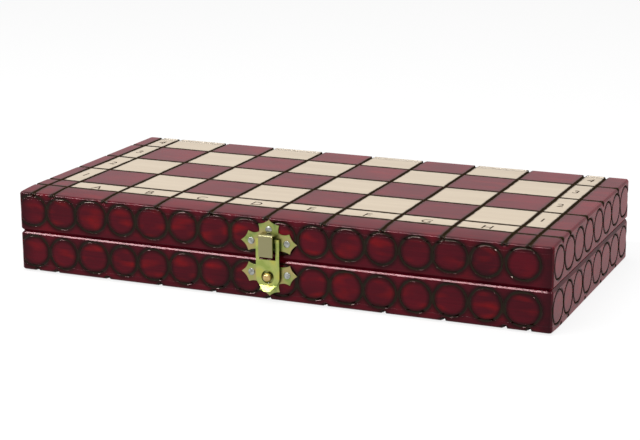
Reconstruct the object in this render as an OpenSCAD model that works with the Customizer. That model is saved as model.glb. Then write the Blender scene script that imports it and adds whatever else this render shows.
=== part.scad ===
// Folding chess case: two shallow trays hinged along one long side, each with half of
// a playing board on its outside. Closed, the lid's ranks 1 to 4 face up and the
// base's ranks 8 to 5 face down. A snap hasp on the front holds the lid shut.
// The origin is the centre of the underside, +X runs along the long side to the
// right, +Y points to the hinges and +Z up. All sizes are in millimetres.

/* [Playing board] */
// Side of a playing square
square_w = 36; // [30:1:44]
// Depth of the rank beside the fold, which is a little shorter
fold_rank_d = 28; // [24:1:40]
// Plain border outside each number strip
side_border = 12; // [8:1:20]
// Width of each number strip
number_strip = 14; // [10:1:20]
// Plain border along the front edge
front_border = 19; // [8:1:24]
// Depth of the letter strip
letter_strip = 15; // [10:1:24]
// How far the lid's pattern lies to the left of the middle
lid_shift = 2; // [1:0.5:4]
// How far the base's pattern lies to the left of the middle
base_shift = 1; // [1:0.5:4]
// Width of the burnt lines between the squares
line_w = 1.4; // [1:0.1:1.8]
// Depth of the burnt lines
line_d = 0.9; // [0.7:0.1:1.4]
// Thickness of the light wood let into the board
inlay_t = 0.6; // [0.3:0.1:0.7]

/* [Case] */
// Outside height of each half
half_h = 25.5; // [24:0.5:40]
// Gap between the rims when the case is closed
seam_gap = 0.3; // [0.2:0.1:0.6]
// Thickness of each playing board
panel_t = 5; // [4:0.5:8]
// Thickness of the side walls
wall_t = 8; // [7.5:0.5:14]
// Rounding of the edges round each playing board
board_edge_r = 1.8; // [0.6:0.1:2.2]
// Rounding of the outer edges of the rims
rim_edge_r = 1.3; // [0.4:0.1:1.6]
// Rounding of the four upright corners
corner_r = 2.4; // [2.3:0.1:5]

/* [Ring ornament] */
// Mean diameter of a burnt ring
ring_d = 19; // [16:0.2:20.4]
// Distance between the centres of neighbouring rings
ring_pitch = 20.9; // [20.5:0.1:26]
// Width of the ring's burnt line
ring_line_w = 1.7; // [1:0.1:2.4]
// Depth of the ring's burnt line
ring_line_d = 0.8; // [0.4:0.1:1.4]
// How far each row of rings stands above the middle of its half
ring_rise = 0.7; // [0:0.1:0.8]
// First ring's centre on the front, from the left end
front_ring_start = 9.3; // [8:0.1:14]
// First ring's centre on an end face, from the front
end_ring_start = 12; // [8:0.5:16]

/* [Hinges] */
// Length of a hinge along the fold
hinge_w = 25; // [18:1:40]
// Distance from each end of the case to the middle of a hinge
hinge_inset = 60; // [40:1:90]
// Thickness of a hinge leaf
leaf_t = 0.9; // [0.7:0.1:1.4]
// Depth of a hinge leaf from the pin's axis
leaf_d = 6.5; // [5.5:0.1:7.2]
// Outer radius of the knuckles
knuckle_r = 1.9; // [1.7:0.1:2.4]
// Radius of the hinge pin
hinge_pin_r = 0.8; // [0.6:0.05:0.9]
// Gap between neighbouring knuckles
knuckle_gap = 0.3; // [0.2:0.1:0.5]
// Distance between the two screws of a leaf
screw_pitch = 16; // [10:1:17]
// Head radius of a hinge screw
screw_head_r = 1.5; // [1.2:0.1:1.7]
// Length of a hinge screw
screw_len = 9; // [6:0.5:14]

/* [Clasp] */
// Thickness of the stamped plates
plate_t = 0.8; // [0.6:0.1:1.1]
// Height of the keeper's side tips above the seam
keeper_rise = 10.3; // [9:0.1:10.8]
// Depth of the lower plate's side tips below the seam
catch_drop = 8.6; // [8:0.1:9.4]
// Half width of a plate across its side tips
plate_half_w = 17.9; // [16:0.1:20]
// Half height of a side lobe
lobe_half_h = 6; // [5:0.1:6.4]
// Reach of the end lobe beyond the side tips
end_lobe_reach = 13.4; // [12:0.1:14.4]
// Width of the keeper's hooked tongue
tongue_w = 8.8; // [6:0.1:9]
// How far the tongue stands off the wall
tongue_out = 6; // [5.2:0.1:6.5]
// Height of the top of the tongue above the seam
tongue_top = 15.7; // [15:0.1:16.5]
// Height of the tongue's lower end above the seam
tongue_foot = 2.5; // [1.8:0.1:6]
// Thickness of the tongue and of the hasp
strap_t = 0.9; // [0.7:0.1:1.1]
// Half width of the hasp
hasp_half_w = 7.4; // [7:0.1:8.2]
// Width of each of the hasp's arms
arm_w = 2.2; // [1.6:0.1:2.4]
// Height of the hasp's hanging bar above the seam
hasp_pivot_rise = 11.7; // [11:0.1:12.2]
// Distance from the wall to the middle of the hasp's sheet
hasp_out = 2.7; // [2.5:0.1:2.9]
// Depth of the ball's centre below the seam
ball_drop = 10; // [9:0.1:11]
// Distance from the wall to the ball's centre
ball_out = 3.6; // [3.4:0.1:4]
// Radius of the ball
ball_r = 2.8; // [2.2:0.1:3]
// Radius of the ball's neck
neck_r = 1.2; // [0.8:0.1:1.5]
// Radius of the hole in the hasp
hasp_hole_r = 4; // [3.7:0.1:4.6]
// Length of the hasp's finger lip
lip_len = 4.2; // [3:0.1:5]
// Angle at which the finger lip bends out
lip_angle = 38; // [15:1:50]
// Distance of the side nails from the middle of a plate
nail_x = 11.4; // [10.8:0.1:12.4]
// Distance of the end lobe's nail from the line of the side nails
end_nail_reach = 6.9; // [6.6:0.1:8]
// Radius of a nail's domed head
nail_head_r = 2.1; // [1.6:0.1:2.3]
// Height of a nail's domed head
nail_head_h = 0.8; // [0.5:0.1:1]
// Radius of a nail's shank
nail_shank_r = 0.7; // [0.5:0.05:0.9]
// How deep the nails and the ball's neck reach into the wall
nail_depth = 5.5; // [3:0.5:6.5]

/* [Hidden] */

$fn = 64;
eps = 0.01;
past = 1;

files = 8;
full_ranks = 3;
ranks = full_ranks + 1;
board_w = files * square_w;
case_w = board_w + 2 * (number_strip + side_border);
case_d = front_border + letter_strip + full_ranks * square_w + fold_rank_d;
case_h = 2 * half_h + seam_gap;
seam_z = half_h + seam_gap / 2;
front_y = -case_d / 2;
back_y = case_d / 2;
left_x = -case_w / 2;

board_front_y = front_y + front_border + letter_strip;
line_xs = concat(
    [-board_w / 2 - number_strip, board_w / 2 + number_strip],
    [for (i = [0:files]) -board_w / 2 + i * square_w]
);
line_ys = concat(
    [front_y + front_border],
    [for (i = [0:full_ranks]) board_front_y + i * square_w]
);

ring_y_margin = ring_d / 2;
front_ring_xs = [
    for (x = front_ring_start; x < case_w - ring_y_margin; x = x + ring_pitch) left_x + x
];
end_ring_ys = [
    for (y = end_ring_start; y < case_d - ring_y_margin; y = y + ring_pitch) front_y + y
];
// Height of the ring centres over the board face. The lid is drawn face down, so its
// module sets this again.
$ring_z = half_h / 2 + ring_rise;

fit = 0.05;
hinge_y = back_y + seam_gap / 2;
hinge_z = seam_z;
hinge_x = case_w / 2 - hinge_inset;
knuckle_clear = 0.3;
knuckle_w = (hinge_w - 2 * knuckle_gap) / 3;
leaf_root = (knuckle_r + hinge_pin_r + fit) / 2;
screw_shank_r = 0.6;
screw_head_h = 0.7 * leaf_t;
screw_y = hinge_y - leaf_d / 2 - 0.6;
screw_cone = (screw_head_r - screw_shank_r) / screw_head_h;

hook_bend_r = 1.3;
bar_h = 2.2;
window_top = hasp_pivot_rise - bar_h / 2;
window_foot = 0.3;
lip_bend_drop = ball_drop + 0.7 * hasp_half_w;
sag_steps = 6;

// Colours
maroon = [0.42, 0.05, 0.11];
end_grain_maroon = [0.38, 0.06, 0.10];
light_wood = [0.90, 0.84, 0.74];
passivated = [0.70, 0.72, 0.42];
golden = [0.80, 0.68, 0.36];
nail_grey = [0.72, 0.71, 0.66];
hinge_brass = [0.72, 0.60, 0.30];

// The waste outside a rounded corner, for a corner at the origin of the first quadrant.
module corner_waste(r) {
    difference() {
        translate([-eps, -eps])
            square(r + eps);
        translate([r, r])
            circle(r);
    }
}

// Upright section through a half, board face down, with all four corners rounded.
module half_section(width) {
    difference() {
        square([width, half_h]);
        corner_waste(board_edge_r);
        translate([width, 0])
            mirror([1, 0])
                corner_waste(board_edge_r);
        translate([0, half_h])
            mirror([0, 1])
                corner_waste(rim_edge_r);
        translate([width, half_h])
            rotate(180)
                corner_waste(rim_edge_r);
    }
}

// Section of an upright corner, from its axis outwards.
module corner_section() {
    difference() {
        square([corner_r, half_h]);
        translate([corner_r, 0])
            mirror([1, 0])
                corner_waste(board_edge_r);
        translate([corner_r, half_h])
            rotate(180)
                corner_waste(rim_edge_r);
    }
}

// The outer form of a half as one block, with its board face at z = 0.
module half_block() {
    run_x = case_w - 2 * corner_r;
    run_y = case_d - 2 * corner_r;
    union() {
        translate([-run_x / 2, front_y, 0])
            rotate([90, 0, 90])
                linear_extrude(run_x)
                    half_section(case_d);
        translate([left_x, run_y / 2, 0])
            rotate([90, 0, 0])
                linear_extrude(run_y)
                    half_section(case_w);
        for (sx = [-1, 1], sy = [-1, 1])
            translate([sx * run_x / 2, sy * run_y / 2, 0])
                rotate_extrude()
                    corner_section();
    }
}

// A half of the case is drawn board face down. The lid is the base turned over.
module as_lid() {
    $ring_z = half_h / 2 - ring_rise;
    translate([0, 0, case_h])
        mirror([0, 0, 1])
            children();
}

// Ring ornament, as one flat pattern to cut from a face.
module ring_row(centres) {
    for (c = centres)
        translate([c, $ring_z])
            difference() {
                circle(ring_d / 2 + ring_line_w / 2);
                circle(ring_d / 2 - ring_line_w / 2);
            }
}

module front_ring_cut(xs = front_ring_xs) {
    translate([0, front_y + ring_line_d, 0])
        rotate([90, 0, 0])
            linear_extrude(ring_line_d + past)
                ring_row(xs);
}

module end_ring_cut(side, ys = end_ring_ys) {
    translate([side * (case_w / 2 + (past - ring_line_d) / 2), 0, 0])
        rotate([90, 0, 90])
            linear_extrude(ring_line_d + past, center = true)
                ring_row(ys);
}

// Rings that reach round a corner into the neighbouring wall.
corner_reach = ring_d / 2 + ring_line_w / 2 + wall_t;
left_corner_xs = [for (x = front_ring_xs) if (x < left_x + corner_reach) x];
right_corner_xs = [for (x = front_ring_xs) if (x > -left_x - corner_reach) x];
front_corner_ys = [for (y = end_ring_ys) if (y < front_y + corner_reach) y];
back_corner_ys = [for (y = end_ring_ys) if (y > back_y - corner_reach) y];

// Burnt lines of the board, as grooves that run out over every edge.
module line_cuts(shift) {
    for (x = line_xs)
        translate([x - shift - line_w / 2, front_y - past, -past])
            cube([line_w, case_d + 2 * past, line_d + past]);
    for (y = line_ys)
        translate([left_x - past, y - line_w / 2, -past])
            cube([case_w + 2 * past, line_w, line_d + past]);
}

// One let-in piece of light wood between the lines at x0, x1, y0 and y1.
module inlay(x0, x1, y0, y1, height) {
    translate([x0 + line_w / 2, y0 + line_w / 2, 0])
        cube([x1 - x0 - line_w, y1 - y0 - line_w, height]);
}

function rank_front(i) = board_front_y + i * square_w;
function rank_back(i) = i < full_ranks
    ? rank_front(i + 1)
    : back_y - board_edge_r + line_w / 2;

// Every light area of one board: squares whose row and file sum to the given parity,
// the letter strip's cells and the number strips' cells.
module light_areas(shift, parity, height) {
    translate([-shift, 0, 0])
        for (i = [0:ranks - 1]) {
            for (f = [0:files - 1])
                if ((i + f) % 2 == parity)
                    inlay(-board_w / 2 + f * square_w, -board_w / 2 + (f + 1) * square_w,
                          rank_front(i), rank_back(i), height);
            for (side = [-1, 1])
                inlay(side * (board_w + number_strip) / 2 - number_strip / 2,
                      side * (board_w + number_strip) / 2 + number_strip / 2,
                      rank_front(i), rank_back(i), height);
        }
    translate([-shift, 0, 0])
        for (f = [0:files - 1])
            inlay(-board_w / 2 + f * square_w, -board_w / 2 + (f + 1) * square_w,
                  board_front_y - letter_strip, board_front_y, height);
}

// A playing board, face down, with its lines cut and its light areas sunk.
module board_panel(shift, parity) {
    difference() {
        intersection() {
            half_block();
            translate([left_x - past, front_y - past, -past])
                cube([case_w + 2 * past, case_d + 2 * past, panel_t + past]);
        }
        line_cuts(shift);
        translate([0, 0, -past])
            light_areas(shift, parity, inlay_t + past);
        front_ring_cut();
        end_ring_cut(-1);
        end_ring_cut(1);
    }
}

module board_inlays(shift, parity) {
    light_areas(shift, parity, inlay_t);
}

// Outline of the front or back wall's share of the frame, mitred at both ends.
module long_wall_plan(side) {
    polygon([
        [left_x - past, side * (back_y + past)],
        [-left_x + past, side * (back_y + past)],
        [-left_x - wall_t, side * (back_y - wall_t)],
        [left_x + wall_t, side * (back_y - wall_t)]
    ]);
}

module end_wall_plan(side) {
    polygon([
        [side * (-left_x + past), front_y - past],
        [side * (-left_x + past), back_y + past],
        [side * (-left_x - wall_t), back_y - wall_t],
        [side * (-left_x - wall_t), front_y + wall_t]
    ]);
}

// One wall of a half: the share of the outer form above its plan.
module wall_blank() {
    intersection() {
        half_block();
        translate([0, 0, panel_t])
            linear_extrude(half_h)
                children();
    }
}

module front_wall() {
    difference() {
        wall_blank()
            long_wall_plan(-1);
        front_ring_cut();
        end_ring_cut(-1, front_corner_ys);
        end_ring_cut(1, front_corner_ys);
    }
}

module end_wall(side) {
    difference() {
        wall_blank()
            end_wall_plan(side);
        front_ring_cut(side < 0 ? left_corner_xs : right_corner_xs);
        end_ring_cut(side);
    }
}

// The back wall has a mortise in its rim for each leaf and a rounded notch for the
// knuckles, so that the two back faces can meet when the case lies open.
module back_wall() {
    difference() {
        wall_blank()
            long_wall_plan(1);
        end_ring_cut(-1, back_corner_ys);
        end_ring_cut(1, back_corner_ys);
        for (side = [-1, 1])
            translate([side * hinge_x, 0, 0]) {
                translate([-hinge_w / 2, hinge_y - leaf_d, half_h - leaf_t])
                    cube([hinge_w, leaf_d + past, leaf_t + past]);
                translate([-hinge_w / 2 - knuckle_clear, hinge_y, hinge_z])
                    rotate([0, 90, 0])
                        cylinder(h = hinge_w + 2 * knuckle_clear, r = knuckle_r + knuckle_clear);
                for (sx = [-1, 1])
                    translate([sx * screw_pitch / 2, screw_y, half_h - screw_len])
                        cylinder(h = screw_len, r = screw_shank_r + fit, $fn = 24);
            }
    }
}

// Where knuckle number i of a hinge starts along X.
function knuckle_x(i) = -hinge_w / 2 + i * (knuckle_w + knuckle_gap);

// A leaf with its own knuckles, cut back round the other leaf's knuckles and drilled
// for the pin and for two countersunk screws. It is drawn for the base.
module hinge_leaf(own, others) {
    difference() {
        union() {
            difference() {
                translate([-hinge_w / 2, hinge_y - leaf_d, half_h - leaf_t])
                    cube([hinge_w, leaf_d - leaf_root, leaf_t]);
                for (i = others)
                    translate([knuckle_x(i) - knuckle_gap, hinge_y, hinge_z])
                        rotate([0, 90, 0])
                            cylinder(h = knuckle_w + 2 * knuckle_gap, r = knuckle_r + knuckle_clear);
            }
            for (i = own)
                translate([knuckle_x(i), hinge_y, hinge_z])
                    rotate([0, 90, 0])
                        cylinder(h = knuckle_w, r = knuckle_r);
        }
        translate([-hinge_w / 2 - past, hinge_y, hinge_z])
            rotate([0, 90, 0])
                cylinder(h = hinge_w + 2 * past, r = hinge_pin_r + fit);
        for (sx = [-1, 1])
            translate([sx * screw_pitch / 2, screw_y, half_h]) {
                translate([0, 0, -leaf_t - past])
                    cylinder(h = leaf_t + 2 * past, r = screw_shank_r + fit, $fn = 24);
                translate([0, 0, -screw_head_h])
                    cylinder(h = screw_head_h + eps, r1 = screw_shank_r + fit,
                             r2 = screw_head_r + fit + eps * screw_cone, $fn = 32);
            }
    }
}

module hinge_pin() {
    translate([-hinge_w / 2, hinge_y, hinge_z])
        rotate([0, 90, 0])
            cylinder(h = hinge_w, r = hinge_pin_r);
}

// The four countersunk screws of one half, two in each leaf.
module hinge_screws() {
    for (side = [-1, 1], sx = [-1, 1])
        translate([side * hinge_x + sx * screw_pitch / 2, screw_y, half_h]) {
            translate([0, 0, -screw_len])
                cylinder(h = screw_len - fit, r = screw_shank_r, $fn = 24);
            translate([0, 0, -screw_head_h])
                cylinder(h = screw_head_h - fit, r1 = screw_shank_r,
                         r2 = screw_head_r - fit * screw_cone, $fn = 32);
        }
}

// Points from a up to, but not including, b along a curve that sags to the left.
function sagging(a, b, sag) =
    let (d = b - a, across = [-d.y, d.x] / norm(d))
    [for (i = [0:sag_steps - 1])
        let (t = i / sag_steps)
        a + t * d + 4 * sag * t * (1 - t) * across];

// Right half of a stamped plate from its straight edge round to the end lobe's tip.
// Each lobe has three points with hollow curves between them.
plate_edge = [
    [0.43 * plate_half_w, -0.77 * lobe_half_h],
    [0.74 * plate_half_w, -lobe_half_h],
    [plate_half_w, 0],
    [0.73 * plate_half_w, lobe_half_h],
    [0.34 * plate_half_w, lobe_half_h],
    [0.37 * plate_half_w, 0.79 * end_lobe_reach],
    [0, end_lobe_reach]
];
plate_sags = [0.4, 0.8, 0.8, 0.9, 0.3, 0.6];
plate_half_outline = [
    for (i = [0:len(plate_sags) - 1])
        each sagging(plate_edge[i], plate_edge[i + 1], plate_sags[i])
];

module plate_outline() {
    last = len(plate_half_outline) - 1;
    polygon(concat(
        plate_half_outline,
        [plate_edge[len(plate_edge) - 1]],
        [for (i = [last:-1:0]) [-plate_half_outline[i].x, plate_half_outline[i].y]]
    ));
}

// Nail places on a plate, from its middle: two side lobes and the end lobe. The keeper's
// end nail lies above its tongue.
end_nail_y = max(end_nail_reach, tongue_top + nail_head_r + fit - keeper_rise);
nail_places = [[-nail_x, 0], [nail_x, 0], [0, end_nail_y]];

module nail_holes() {
    for (p = nail_places)
        translate(p)
            circle(nail_shank_r + fit, $fn = 24);
}

// Puts a flat drawing on the front wall, thick towards the viewer.
module on_front(z, out = 0) {
    translate([0, front_y - out, z])
        rotate([90, 0, 0])
            children();
}

module plate() {
    linear_extrude(plate_t)
        difference() {
            plate_outline();
            nail_holes();
        }
}

module nails() {
    dome_r = (nail_head_r * nail_head_r + nail_head_h * nail_head_h) / (2 * nail_head_h);
    for (p = nail_places)
        translate([p.x, p.y, 0]) {
            translate([0, 0, -nail_depth])
                cylinder(h = nail_depth + plate_t, r = nail_shank_r, $fn = 24);
            translate([0, 0, plate_t])
                intersection() {
                    translate([0, 0, nail_head_h - dome_r])
                        sphere(dome_r);
                    cylinder(h = nail_head_h + past, r = nail_head_r);
                }
        }
}

// Holes that the nails fill in a front wall, and the panel edge above or below it.
module nail_bores() {
    for (p = nail_places)
        translate([p.x, p.y, -nail_depth])
            cylinder(h = nail_depth + past, r = nail_shank_r + fit, $fn = 24);
}

module place_keeper() {
    on_front(seam_z + keeper_rise)
        children();
}

module place_catch() {
    on_front(seam_z - catch_drop)
        mirror([0, 1, 0])
            children();
}

// Section of the keeper's tongue: out from the plate and down in front of it.
module tongue_section() {
    reach = tongue_out - plate_t;
    drop = tongue_top - tongue_foot;
    difference() {
        translate([0, -drop])
            square([reach, drop]);
        translate([-eps, -drop - eps])
            square([reach - strap_t + eps, drop - strap_t + eps]);
        translate([reach, 0])
            rotate(180)
                corner_waste(hook_bend_r);
    }
    translate([reach - strap_t - 0.4, -strap_t - 0.4])
        difference() {
            square(0.4 + eps);
            circle(0.4);
        }
}

// The keeper: a stamped plate with a tongue bent out and down, on which the hasp hangs.
module keeper_plate_and_tongue() {
    place_keeper()
        plate();
    translate([tongue_w / 2, front_y - plate_t, seam_z + tongue_top])
        rotate([90, 0, -90])
            linear_extrude(tongue_w)
                tongue_section();
}

module ball_stud() {
    on_front(seam_z - ball_drop) {
        translate([0, 0, ball_out])
            sphere(ball_r);
        translate([0, 0, -nail_depth])
            cylinder(h = nail_depth + ball_out, r = neck_r, $fn = 32);
    }
}

module ball_bore() {
    on_front(seam_z - ball_drop, -nail_depth)
        cylinder(h = nail_depth + 2 * past, r = neck_r + fit, $fn = 32);
}

// Front outline of the hasp, measured from the seam: two arms and a bar round a
// window, a round end with a hole that snaps over the ball, and the finger lip.
module hasp_outline() {
    difference() {
        union() {
            translate([-hasp_half_w, -ball_drop])
                square([2 * hasp_half_w, ball_drop + hasp_pivot_rise + bar_h / 2]);
            translate([0, -ball_drop])
                circle(hasp_half_w);
        }
        translate([-hasp_half_w + arm_w, window_foot])
            square([2 * (hasp_half_w - arm_w), window_top - window_foot]);
        translate([0, -ball_drop])
            circle(hasp_hole_r);
        translate([-hasp_half_w - past, -lip_bend_drop - hasp_half_w])
            square([2 * (hasp_half_w + past), hasp_half_w]);
    }
    translate([0, -lip_bend_drop])
        polygon([
            [-lip_half_w, 0],
            [-lip_tip_half_w, -lip_drop],
            [lip_tip_half_w, -lip_drop],
            [lip_half_w, 0]
        ]);
}

// Side section of the hasp as a bent strip, from its distance to the wall and its
// height over the seam.
module hasp_section() {
    half_t = strap_t / 2;
    bend_offset = half_t * tan(lip_angle / 2);
    tip = [hasp_out + lip_len * sin(lip_angle), -lip_bend_drop - lip_len * cos(lip_angle)];
    across = half_t * [cos(lip_angle), sin(lip_angle)];
    polygon([
        [hasp_out - half_t, hasp_pivot_rise + bar_h],
        [hasp_out - half_t, -lip_bend_drop - bend_offset],
        tip - across,
        tip + across,
        [hasp_out + half_t, -lip_bend_drop + bend_offset],
        [hasp_out + half_t, hasp_pivot_rise + bar_h]
    ]);
}

// Half width of the hasp's round end at the bend of its lip, half width of the lip's
// blunt tip, and how far the lip hangs below its bend.
lip_half_w = sqrt(pow(hasp_half_w, 2) - pow(lip_bend_drop - ball_drop, 2));
lip_tip_half_w = 0.9;
lip_drop = lip_len * cos(lip_angle) + strap_t * sin(lip_angle);

module hasp() {
    intersection() {
        on_front(seam_z)
            linear_extrude(2 * hasp_out + lip_len)
                hasp_outline();
        translate([hasp_half_w + past, front_y, seam_z])
            rotate([90, 0, -90])
                linear_extrude(2 * (hasp_half_w + past))
                    hasp_section();
    }
}

module base_panel() {
    color(maroon)
        difference() {
            board_panel(base_shift, 0);
            place_catch()
                nail_bores();
        }
}

module base_light_squares() {
    color(light_wood)
        board_inlays(base_shift, 0);
}

module base_front_wall() {
    color(maroon)
        difference() {
            front_wall();
            place_catch()
                nail_bores();
            ball_bore();
        }
}

module base_back_wall() {
    color(maroon)
        back_wall();
}

module base_left_wall() {
    color(end_grain_maroon)
        end_wall(-1);
}

module base_right_wall() {
    color(end_grain_maroon)
        end_wall(1);
}

module hinge_left_base_leaf() {
    color(hinge_brass)
        translate([-hinge_x, 0, 0])
            hinge_leaf([0, 2], [1]);
}

module hinge_right_base_leaf() {
    color(hinge_brass)
        translate([hinge_x, 0, 0])
            hinge_leaf([0, 2], [1]);
}

module hinge_left_pin() {
    color(nail_grey)
        translate([-hinge_x, 0, 0])
            hinge_pin();
}

module hinge_right_pin() {
    color(nail_grey)
        translate([hinge_x, 0, 0])
            hinge_pin();
}

module hinge_base_screws() {
    color(hinge_brass)
        hinge_screws();
}

module clasp_catch_plate() {
    color(passivated)
        difference() {
            place_catch()
                plate();
            ball_bore();
        }
}

module clasp_ball_stud() {
    color(golden)
        ball_stud();
}

module clasp_catch_nails() {
    color(nail_grey)
        place_catch()
            nails();
}

module lid_panel() {
    color(maroon)
        difference() {
            as_lid()
                board_panel(lid_shift, 1);
            place_keeper()
                nail_bores();
        }
}

module lid_light_squares() {
    color(light_wood)
        as_lid()
            board_inlays(lid_shift, 1);
}

module lid_front_wall() {
    color(maroon)
        difference() {
            as_lid()
                front_wall();
            place_keeper()
                nail_bores();
        }
}

module lid_back_wall() {
    color(maroon)
        as_lid()
            back_wall();
}

module lid_left_wall() {
    color(end_grain_maroon)
        as_lid()
            end_wall(-1);
}

module lid_right_wall() {
    color(end_grain_maroon)
        as_lid()
            end_wall(1);
}

module hinge_left_lid_leaf() {
    color(hinge_brass)
        translate([-hinge_x, 0, 0])
            as_lid()
                hinge_leaf([1], [0, 2]);
}

module hinge_right_lid_leaf() {
    color(hinge_brass)
        translate([hinge_x, 0, 0])
            as_lid()
                hinge_leaf([1], [0, 2]);
}

module hinge_lid_screws() {
    color(hinge_brass)
        as_lid()
            hinge_screws();
}

module clasp_keeper() {
    color(passivated)
        keeper_plate_and_tongue();
}

module clasp_keeper_nails() {
    color(nail_grey)
        place_keeper()
            nails();
}

module clasp_hasp() {
    color(passivated)
        hasp();
}

base_panel();
base_light_squares();
base_front_wall();
base_back_wall();
base_left_wall();
base_right_wall();
hinge_left_base_leaf();
hinge_right_base_leaf();
hinge_left_pin();
hinge_right_pin();
hinge_base_screws();
clasp_catch_plate();
clasp_ball_stud();
clasp_catch_nails();
lid_panel();
lid_light_squares();
lid_front_wall();
lid_back_wall();
lid_left_wall();
lid_right_wall();
hinge_left_lid_leaf();
hinge_right_lid_leaf();
hinge_lid_screws();
clasp_keeper();
clasp_keeper_nails();
clasp_hasp();
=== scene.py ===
# %% [markdown]
# # A folding chess case in burnt and lacquered wood
# The case is two shallow trays that are hinged along one long side. Each tray carries
# half of the playing board on its outside, and a snap hasp holds the closed case at the
# front. The frame gives the places and sizes of the parts. This script gives them
# their surfaces: burnt lines and rings, stained and bare wood, lacquer and plated metal.

# %% Load the frame
import math

import bmesh
import bpy
import numpy as np
from mathutils import Matrix, Vector


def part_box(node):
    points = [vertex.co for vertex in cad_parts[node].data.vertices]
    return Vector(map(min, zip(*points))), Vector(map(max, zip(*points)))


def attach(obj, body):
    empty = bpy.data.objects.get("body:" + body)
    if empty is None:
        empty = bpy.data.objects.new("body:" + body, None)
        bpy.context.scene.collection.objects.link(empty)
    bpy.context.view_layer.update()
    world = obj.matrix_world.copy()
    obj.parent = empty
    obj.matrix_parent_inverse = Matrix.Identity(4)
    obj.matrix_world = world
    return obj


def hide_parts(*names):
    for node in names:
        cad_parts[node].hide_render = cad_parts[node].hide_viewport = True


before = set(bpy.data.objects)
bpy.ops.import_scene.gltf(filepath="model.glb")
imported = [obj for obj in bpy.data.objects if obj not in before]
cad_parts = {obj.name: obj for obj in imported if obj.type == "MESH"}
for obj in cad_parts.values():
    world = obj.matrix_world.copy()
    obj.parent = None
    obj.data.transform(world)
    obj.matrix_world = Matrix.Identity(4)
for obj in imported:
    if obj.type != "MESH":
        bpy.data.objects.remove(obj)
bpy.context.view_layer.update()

MM = 0.001
bpy.context.scene.view_settings.view_transform = "Standard"
print("nodes in the frame:", len(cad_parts))

# %% [markdown]
# The main sizes are read from the frame's own boxes, so the surfaces made here always
# fit the parts that carry them.

# %% Sizes of the case
board_low, board_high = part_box("base_panel")
wall_low, wall_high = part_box("base_front_wall")
CASE_W = board_high.x - board_low.x
CASE_D = board_high.y - board_low.y
CASE_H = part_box("lid_panel")[1].z
HALF_H = wall_high.z
BOARD_T = board_high.z - board_low.z
WALL_T = wall_high.y - wall_low.y
SEAM_Z = CASE_H / 2
FRONT_Y = -CASE_D / 2
print("case", [round(v / MM, 1) for v in (CASE_W, CASE_D, CASE_H)], "mm")

# %% [markdown]
# The camera stands where the photograph was taken: a little to the right of the clasp
# and a little above the lid. Its place was worked out from the corners of the case and
# the lines of the board. A roll of a third of a degree is part of that view.

# %% Camera
VIEW_AZIMUTH = math.radians(23.41)
VIEW_ELEVATION = math.radians(14.76)
VIEW_ROLL = math.radians(-0.33)
VIEW_DISTANCE = 1.092
VIEW_TARGET = Vector((0, -0.0109, 0.0311))
PHOTO_WIDTH_PX = 640
FOCAL_PX = 1765.7
SENSOR_WIDTH = 36


def new_object(name, data):
    made = bpy.data.objects.new(name, data)
    bpy.context.scene.collection.objects.link(made)
    return made


def towards(azimuth, elevation):
    """The unit vector from the case to a place that is seen at these angles, in radians."""
    return Vector((math.sin(azimuth) * math.cos(elevation), -math.cos(azimuth) * math.cos(elevation),
                   math.sin(elevation)))


backwards = towards(VIEW_AZIMUTH, VIEW_ELEVATION)
level_right = Vector((math.cos(VIEW_AZIMUTH), math.sin(VIEW_AZIMUTH), 0))
level_up = backwards.cross(level_right)
right = math.cos(VIEW_ROLL) * level_right + math.sin(VIEW_ROLL) * level_up
up = math.cos(VIEW_ROLL) * level_up - math.sin(VIEW_ROLL) * level_right

camera = new_object("camera", bpy.data.cameras.new("camera"))
turn = Matrix((right, up, backwards)).transposed().to_4x4()
camera.matrix_world = Matrix.Translation(VIEW_TARGET + backwards * VIEW_DISTANCE) @ turn
camera.data.sensor_width = SENSOR_WIDTH
camera.data.lens = SENSOR_WIDTH * FOCAL_PX / PHOTO_WIDTH_PX
bpy.context.scene.camera = camera
print("lens", round(camera.data.lens, 1), "mm")

# %% [markdown]
# Colours are written as the hex values that a paint chart would give. One function
# turns them into the linear values that the shaders want. A second one gives the function
# that adds a node, with its settings, colours and links, to a node tree.

# %% Colour and node helpers
NODE_FAMILIES = ("ShaderNode", "GeometryNode", "FunctionNode", "")
COLOURS = {"data_type": "RGBA"}
SMOOTHLY = {"interpolation_type": "SMOOTHSTEP"}


def linear(hex_colour):
    channels = [int(hex_colour[i:i + 2], 16) / 255 for i in (1, 3, 5)]
    return [c / 12.92 if c <= 0.04045 else ((c + 0.055) / 1.055) ** 2.4 for c in channels] + [1.0]


def as_mesh(name, shell):
    mesh = bpy.data.meshes.new(name)
    shell.to_mesh(mesh)
    shell.free()
    return mesh


def evaluated_mesh(piece):
    bpy.context.view_layer.update()
    return bpy.data.meshes.new_from_object(piece.evaluated_get(bpy.context.evaluated_depsgraph_get()))


def adder(tree):
    """The function that adds a node to this tree. Its kind is a node type, or an operation
    in capitals for a Math node. Values, hex colours and links fill the inputs in use, in
    their order, and `inputs` fills others by name. It gives the output that is asked for, or else the
    first one in use."""
    def add(kind, *values, inputs={}, output=None, **settings):
        if kind.isupper():
            kind, settings = "Math", {"operation": kind}
        family = next(f for f in NODE_FAMILIES if hasattr(bpy.types, f + kind))
        node = tree.nodes.new(family + kind)
        for name, value in settings.items():
            setattr(node, name, value)
        in_use = [socket for socket in node.inputs if socket.enabled]
        by_name = [(node.inputs[name], value) for name, value in inputs.items()]
        for socket, value in [*zip(in_use, values), *by_name]:
            if isinstance(value, bpy.types.NodeSocket):
                tree.links.new(value, socket)
            else:
                socket.default_value = linear(value) if str(value).startswith("#") else value
        return node.outputs[output] if output else next((s for s in node.outputs if s.enabled), None)
    return add


def new_material(name):
    material = bpy.data.materials.new(name)
    material.use_nodes = True
    material.node_tree.nodes.clear()
    return material, adder(material.node_tree)


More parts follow.
